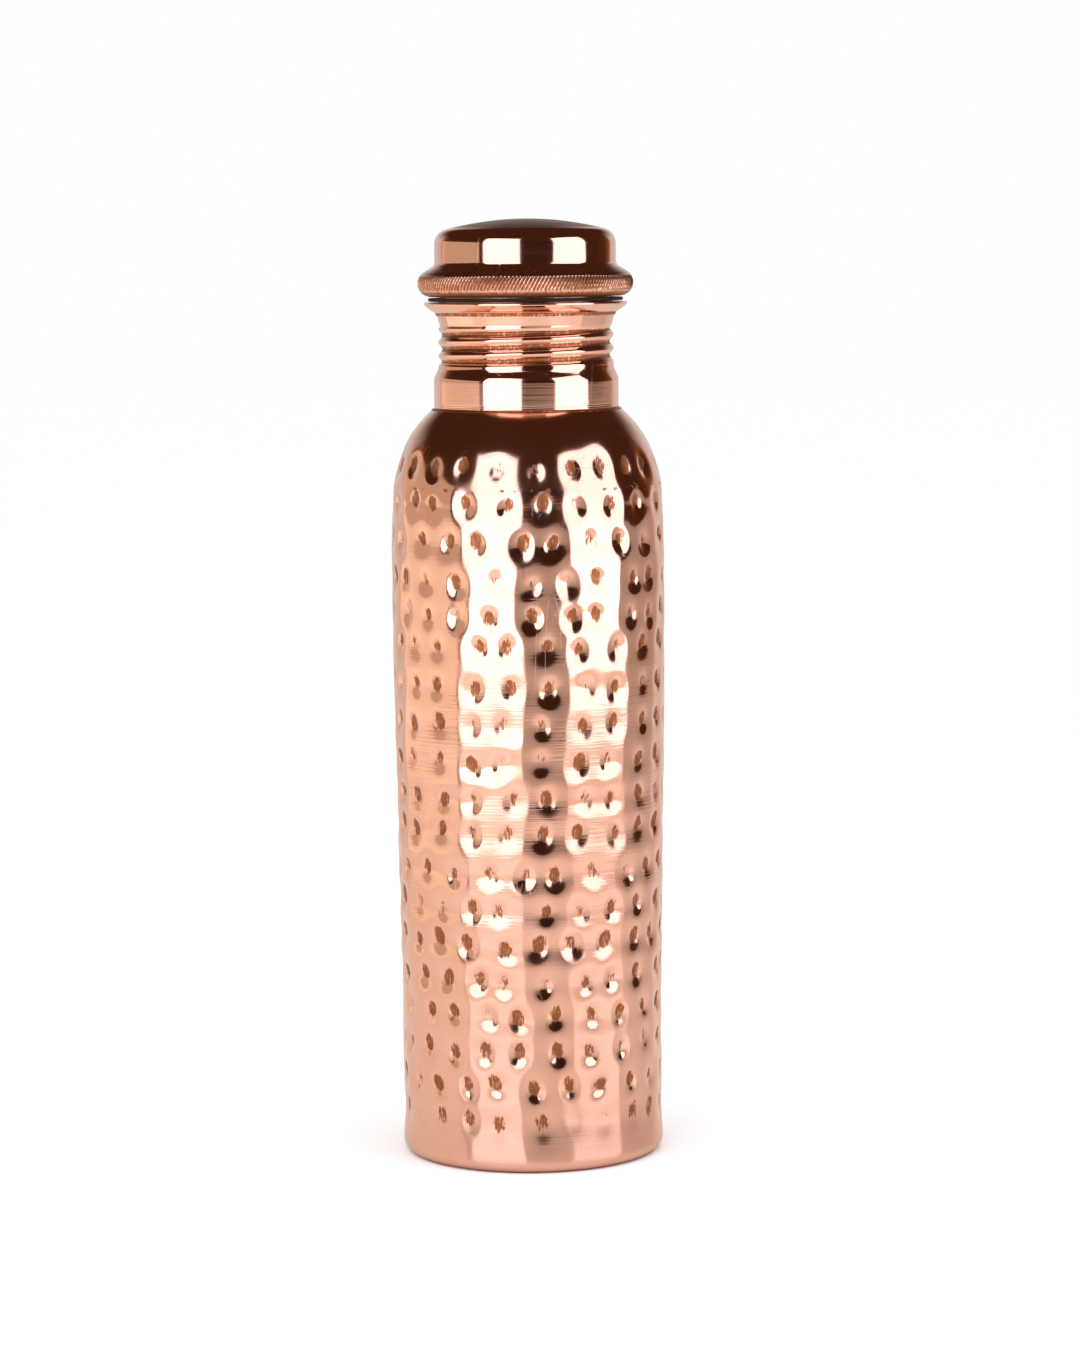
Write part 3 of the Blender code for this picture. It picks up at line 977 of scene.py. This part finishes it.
seat(collar, "bottle", "polished_copper", POLISHED, "neck_collar")

# %% [markdown]
# ## The lip ring
# A solid ring is brazed round the mouth. Its flat top is what the gasket seals on, and
# its underside flares out in a soft hollow curve. It is small but catches the light all
# round, so every edge of its section is rounded with an arc before it is spun.

# %% Turn the lip ring
LIP_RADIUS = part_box("lip_ring")[1].x
LIP_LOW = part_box("lip_ring")[0].z
LIP_EDGE = 0.0008
LIP_ROUND = 0.00030
BAND_RADIUS = THREAD_RADIUS + BAND_STEP
LIP_COLUMNS = 240


def lip_outline():
    """Return the ring's closed section: top, rim, flared underside and bore."""
    bore = BAND_RADIUS + GAP / 3
    rim = LIP_RADIUS - LIP_ROUND
    outline = [(bore, MOUTH), (bore + 0.0008, MOUTH)]
    outline += arc((rim, MOUTH - LIP_ROUND), LIP_ROUND, 90.0, 0.0, 5)
    outline += arc((rim, MOUTH - LIP_EDGE + LIP_ROUND), LIP_ROUND, 0.0, -60.0, 4)
    start = outline[-1]
    for step in range(1, 9):
        share = step / 8
        flare = share ** 0.8
        outline.append((start[0] + (bore + 0.0002 - start[0]) * share,
                        start[1] + (LIP_LOW - start[1]) * flare))
    outline.append((bore, LIP_LOW))
    outline += [(bore, LIP_LOW + (MOUTH - LIP_LOW) * step / 3) for step in (1, 2, 3)]
    return outline


lip = spun("lip_copper", lip_outline(), LIP_COLUMNS)
smooth(lip, 50.0)
seat(lip, "bottle", "polished_copper", POLISHED, "lip_ring")

# %% [markdown]
# ## The brazed joints
# Brazing leaves a thin uneven bead of metal under the lip and at the foot of the collar.
# Each bead is a small closed section that is spun and then roughened with a noise
# texture, as the real ones were filed by hand and still show pits. The seam of barrel
# and shoulder was filed flush, so there the two edges simply meet, with a few scuffs.

# %% Lay the brazed beads
PITS = bpy.data.textures.new("braze_pits", "CLOUDS")
PITS.noise_scale = 0.0011
PITS.noise_depth = 2


def braze(name, outline, columns, roughness):
    """Spin a closed bead section and roughen its surface."""
    item = spun(name, outline + outline[:1], columns)
    rough = item.modifiers.new("pits", "DISPLACE")
    rough.texture = PITS
    rough.texture_coords = "LOCAL"
    rough.strength = roughness
    rough.mid_level = 0.5
    apply(item, rough)
    record_mask(item, "stain_and_shade", np.full(len(item.data.vertices), 0.55))
    smooth(item, 80.0)
    seat(item, "bottle", "polished_copper", BRAZE)
    return item


def fillet(corner, out, up, bulge):
    """Return a bead section that fills a corner, by its two legs and a bulge."""
    section = [corner]
    for step in range(7):
        share = step / 6
        swell = bulge * math.sin(math.pi * share)
        section.append((corner[0] + out * (1.0 - share) + swell,
                        corner[1] + up * share + swell * (1 if up > 0 else -1)))
    return section


lip_foot = (BAND_RADIUS - 0.0001, LIP_LOW + 0.0003)
braze("lip_braze", fillet(lip_foot, 0.00065, -0.00110, -0.00012), 360, 0.00022)
collar_foot = (NECK_RADIUS - 0.0001, NECK_BASE - 0.00025)
braze("neck_braze", fillet(collar_foot, 0.00085, 0.00060, -0.00010), 360, 0.00010)

# %% [markdown]
# ## The base pan
# The bottom is a pressed pan, nested in the foot and dished up so that the bottle stands
# on its rim. Only its underside shows when the bottle is tipped, with the rings that the
# lathe left, so a short outline with a soft step is enough.

# %% Spin the base pan
PAN_SKIRT = 0.006
PAN_RIM = 0.005
PAN_RISE = 0.0035
corner = (FOOT_RADIUS - FOOT_CORNER, FOOT_CORNER)
rim = corner[0] - PAN_RIM
outline = rows_down(lambda height: body_radius(height) - LAP_INSET,
                    FOOT_CORNER + PAN_SKIRT, FOOT_CORNER, 0.0015)
outline += arc(corner, FOOT_CORNER - LAP_INSET, 0.0, -90.0, 8)[1:]
for step in range(25):
    radius_here = rim * (1.0 - step / 24)
    rise = PAN_RISE * (0.8 * ramp(rim - radius_here, 0.0, 0.0045) + 0.2 * (step / 24))
    outline.append((radius_here, LAP_INSET + float(rise)))
pan = face_out(spun("base_pan_copper", outline, 144))
radius, angle, height = places(pan)
thicken(pan)
record_mask(pan, "stain_and_shade", np.full(len(pan.data.vertices), 0.15))
smooth(pan)
seat(pan, "bottle", "hammered_copper", PLAIN, "base_pan")

# %% [markdown]
# ## The gasket
# The gasket is a flat ring of silicone with rounded edges, lying loose on the lip. It
# is stamped from sheet, so its section is a rectangle with small arcs at its corners.

# %% Mould the gasket
GASKET_ROUND = 0.00025
gasket_low, gasket_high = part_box("sealing_gasket")
gasket_bore = 0.0241


def ring_section(inner, outer, low, high, round_edge, steps=4):
    """Return a closed rectangular section with rounded corners."""
    outline = []
    for centre, start in (((outer - round_edge, high - round_edge), 90.0),
                          ((outer - round_edge, low + round_edge), 0.0),
                          ((inner + round_edge, low + round_edge), -90.0),
                          ((inner + round_edge, high - round_edge), -180.0)):
        outline += arc(centre, round_edge, start, start - 90.0, steps)
    return outline + outline[:1]


gasket = spun("gasket_silicone", ring_section(gasket_bore, gasket_high.x, gasket_low.z,
                                              gasket_high.z, GASKET_ROUND), 144)
smooth(gasket, 60.0)
seat(gasket, "gasket", "silicone", SILICONE, "sealing_gasket")

# %% [markdown]
# ## The cap
# The cap is spun from one sheet: a low dome, an upright wall, a small fillet, and a fat
# bead that fingers turn. The bead is knurled with slanting grooves. Only the outer skin
# needs the columns for them, so the cap has two skins too, bridged at the lower rim.
# The old copper has split a little on the fillet, and the split is pressed in as well.
# A mask on the top of the dome and the upper face of the bead makes the copper browner and rougher
# there: painted shade that dims what they mirror.

# %% Spin and knurl the cap
CAP_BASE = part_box("cap_shell")[0].z
CAP_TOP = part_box("cap_shell")[1].z
BEAD_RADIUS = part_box("cap_shell")[1].x
CAP_RADIUS = THREAD_RADIUS + 0.0008
CAP_CORNER = 0.0044
DOME_CURVE = 0.090
BEAD_CURVE = 0.0038
BEAD_SLOPE = 58.0
FILLET = 0.0015
FILLET_RISE = 0.0098
FLANGE_BORE = 0.0241
GROOVES = 176
KNURL_COLUMNS = GROOVES * 6
KNURL_DEPTH = 0.00032
KNURL_LEAN = math.radians(25.0)


def cap_outline(dome, corner_steps, wall, fillet_steps, bead_steps):
    """Return the cap's outer side, from the middle of the dome to the flange."""
    dome_centre = CAP_TOP - DOME_CURVE
    corner_r = CAP_RADIUS - CAP_CORNER
    corner_z = dome_centre + math.sqrt((DOME_CURVE - CAP_CORNER) ** 2 - corner_r ** 2)
    meet = math.degrees(math.atan2(corner_z - dome_centre, corner_r))
    bead_centre = (BEAD_RADIUS - BEAD_CURVE, CAP_BASE + BEAD_CURVE)
    fillet_centre = (CAP_RADIUS + FILLET, CAP_BASE + FILLET_RISE)
    outline = arc((0.0, dome_centre), DOME_CURVE, 90.0, meet, dome)
    outline += arc((corner_r, corner_z), CAP_CORNER, meet, 0.0, corner_steps)[1:]
    outline += rows_down(lambda height: CAP_RADIUS, corner_z, fillet_centre[1], wall)[1:-1]
    outline += arc(fillet_centre, FILLET, 180.0, 180.0 + BEAD_SLOPE, fillet_steps)
    upper, middle, lower = bead_steps
    outline += arc(bead_centre, BEAD_CURVE, BEAD_SLOPE, 36.0, upper)
    outline += arc(bead_centre, BEAD_CURVE, 36.0, -32.0, middle)[1:]
    outline += arc(bead_centre, BEAD_CURVE, -32.0, -90.0, lower)[1:]
    outline.append((FLANGE_BORE, CAP_BASE))
    outline[0] = (0.0, CAP_TOP)
    return outline


def knurl(radius, angle, height):
    """Return the depth of the slanting grooves round the bead."""
    middle = CAP_BASE + BEAD_CURVE + 0.0001
    slant = (height - middle) * math.tan(KNURL_LEAN) / BEAD_RADIUS
    wave = 0.5 + 0.5 * np.cos(GROOVES * (angle - slant))
    inside = 1.0 - ramp(np.abs(height - middle), 0.0017, 0.0021)
    on_bead = radius > BEAD_RADIUS - 0.0014
    return KNURL_DEPTH * wave ** 0.8 * inside * on_bead


def split(angle, height):
    """Return the depth of the short crack that runs down the fillet."""
    middle = math.radians(-104.5)
    bend = middle + 0.012 * np.sin((height - CAP_BASE) * 1400.0) - (height - CAP_BASE) * 1.2
    across = (angle - bend + 0.010) * CAP_RADIUS
    width = 0.00016 * ramp(height, CAP_BASE + 0.0058, CAP_BASE + 0.0080) + 0.00009
    along = ramp(height, CAP_BASE + 0.0040, CAP_BASE + 0.0052) * (
        1.0 - ramp(height, CAP_BASE + 0.0082, CAP_BASE + 0.0092))
    return 0.00035 * np.exp(-(across / width) ** 2) * along


cap = face_out(spun("cap_copper", cap_outline(9, 10, 0.0028, 6, (5, 15, 10)), KNURL_COLUMNS))
radius, angle, height = places(cap)
grooves = knurl(radius, angle, height)
crack = split(angle, height)
ripple = uneven(angle, height, 0.00012, 21) * ramp(radius, 0.004, 0.015)
press(cap, grooves + crack + ripple)
# Painted shade: the bead's underside is browned through the stain mask, where it hangs over the
# dark gap.
underside_shade = 0.95 * (1.0 - ramp(height, CAP_BASE + 0.0006, CAP_BASE + 0.0022))
knurled = 1.0 - ramp(np.abs(height - CAP_BASE - BEAD_CURVE), 0.0018, 0.0024)
knurled = knurled * (radius > BEAD_RADIUS - 0.0014)
stain = 0.22 * knurled + 0.80 * grooves / KNURL_DEPTH + crack / 0.00012 + underside_shade
record_mask(cap, "stain_and_shade", np.clip(stain, 0.0, 1.0))
# Painted shade: the top of the dome and the upper face of the bead are browned, to dim the lamps
# that they mirror.
on_dome = (1.0 - ramp(radius, 0.0195, 0.0225)) * ramp(height, CAP_TOP - 0.004, CAP_TOP - 0.003)
on_bead = ramp(radius, CAP_RADIUS + 0.0006, CAP_RADIUS + 0.0018)
record_mask(cap, "painted_shade", np.maximum(0.95 * on_dome, 0.40 * on_bead))
inside = face_out(spun("cap_inside", inner_side(cap_outline(8, 6, 0.004, 4, (3, 5, 6))), 132))
cap = join_skins(cap, inside)
close_rim(cap, CAP_BASE - 0.0005, CAP_BASE + SHEET + 0.0005)
smooth(cap)
seat(cap, "cap", "polished_copper", POLISHED, "cap_shell")

# %% [markdown]
# ## The sleeve in the cap
# Inside the cap sits a flanged tube with the second thread. It was never buffed, so its
# copper is dull and stained. It follows the same helix as the neck, a little smaller.
# Under the flange a plain groove as deep as the thread leaves room, while the cap is
# closed, for the narrow place between the neck's thread and its flare. When the cap is
# part-way off, the sleeve's crests still cut into that narrow place.

# %% Roll the sleeve
THREAD_GAP = 0.00045
SLEEVE_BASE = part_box("thread_sleeve")[0].z
SLEEVE_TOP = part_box("thread_sleeve")[1].z
SLEEVE_RADIUS = THREAD_RADIUS - SHEET - THREAD_GAP
SLEEVE_FLANGE = 0.0019
SLEEVE_LEAD = 0.0025
RELIEF_LOW = THREAD_HIGH - 0.0017
RELIEF_HIGH = THREAD_HIGH + 0.0012
RELIEF_SLOPE = 0.0012
roll_top = THREAD_HIGH + RUN_OUT
relief_top = RELIEF_HIGH + RELIEF_SLOPE + 0.0003


def sleeve_radius(height):
    """Return the sleeve's outer radius before its thread is rolled."""
    nose = ramp(height, SLEEVE_BASE, SLEEVE_BASE + SLEEVE_LEAD)
    return SLEEVE_RADIUS - THREAD_DEPTH * (1.0 - nose)


outline = [(SLEEVE_RADIUS + SLEEVE_FLANGE, SLEEVE_TOP), (SLEEVE_RADIUS + 0.0007, SLEEVE_TOP)]
outline += arc((SLEEVE_RADIUS + 0.0007, SLEEVE_TOP - 0.0007), 0.0007, 90.0, 180.0, 4)[1:]
outline += rows_down(sleeve_radius, SLEEVE_TOP - 0.0012, relief_top, 0.0015)
outline += rows_down(sleeve_radius, relief_top, SLEEVE_BASE, 0.0003)[1:]
sleeve = face_out(spun("sleeve_copper", outline, 192))
radius, angle, height = places(sleeve)
groove = thread_wave(angle, height, SLEEVE_BASE, SLEEVE_BASE + SLEEVE_LEAD,
                     THREAD_HIGH, roll_top)
relief = ramp(height, RELIEF_LOW - RELIEF_SLOPE, RELIEF_LOW)
relief *= 1.0 - ramp(height, RELIEF_HIGH, RELIEF_HIGH + RELIEF_SLOPE)
groove = np.maximum(groove, THREAD_DEPTH * relief)
press(sleeve, groove)
record_mask(sleeve, "stain_and_shade", np.clip(groove / THREAD_DEPTH, 0.0, 1.0))
thicken(sleeve)
smooth(sleeve)
seat(sleeve, "cap", "plain_copper", PLAIN, "thread_sleeve")
